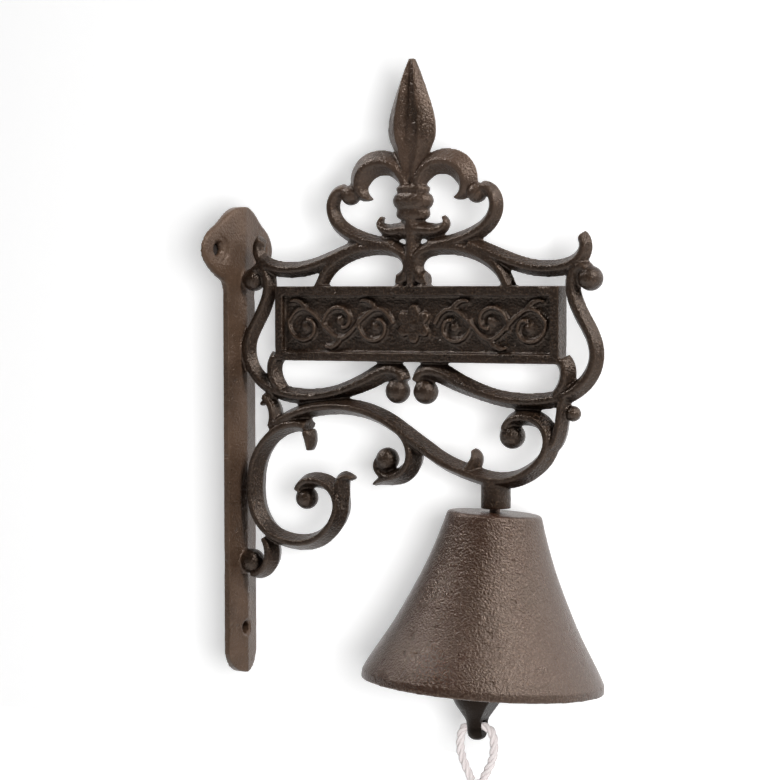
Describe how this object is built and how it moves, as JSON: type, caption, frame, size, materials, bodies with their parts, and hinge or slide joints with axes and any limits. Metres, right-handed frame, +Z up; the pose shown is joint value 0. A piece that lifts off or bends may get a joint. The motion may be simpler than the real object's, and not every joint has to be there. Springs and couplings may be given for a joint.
{
  "type": "wall bell",
  "caption": "Wall-mounted scrollwork bracket with a flared bell, a swinging clapper on a hook and a looped pull cord.",
  "frame": {"origin": "on the flat back of the wall plate, on its middle line, halfway between the heights of the upper and lower screw holes", "axes": "+X away from the wall, Y along the wall, +Z up"},
  "size_m": [0.2042, 0.1139, 0.4636],
  "materials": {
    "bracket_iron": "dark brown, semi-gloss lacquer over coarse cast grain",
    "bell_iron": "dark brown, semi-gloss lacquer over coarse cast grain",
    "hanger_steel": "dark browned steel",
    "clapper_iron": "very dark brown, satin",
    "cord_cotton": "off-white braided cotton"
  },
  "bodies": {
    "frame": {"bracket": "bracket_iron", "bell": "bell_iron", "hanger": "hanger_steel", "nut": "hanger_steel"},
    "striker": {"clapper": "clapper_iron", "pull_cord": "cord_cotton", "cord_loop_knot": "cord_cotton", "cord_end_knot": "cord_cotton"}
  },
  "joints": [
    {"name": "clapper_swing", "type": "hinge", "parent": "frame", "child": "striker", "pos_m": [0.13745, -0.0008, -0.05085], "axis": [1, 0, 0], "range_deg": [-36, 31.7]}
  ]
}
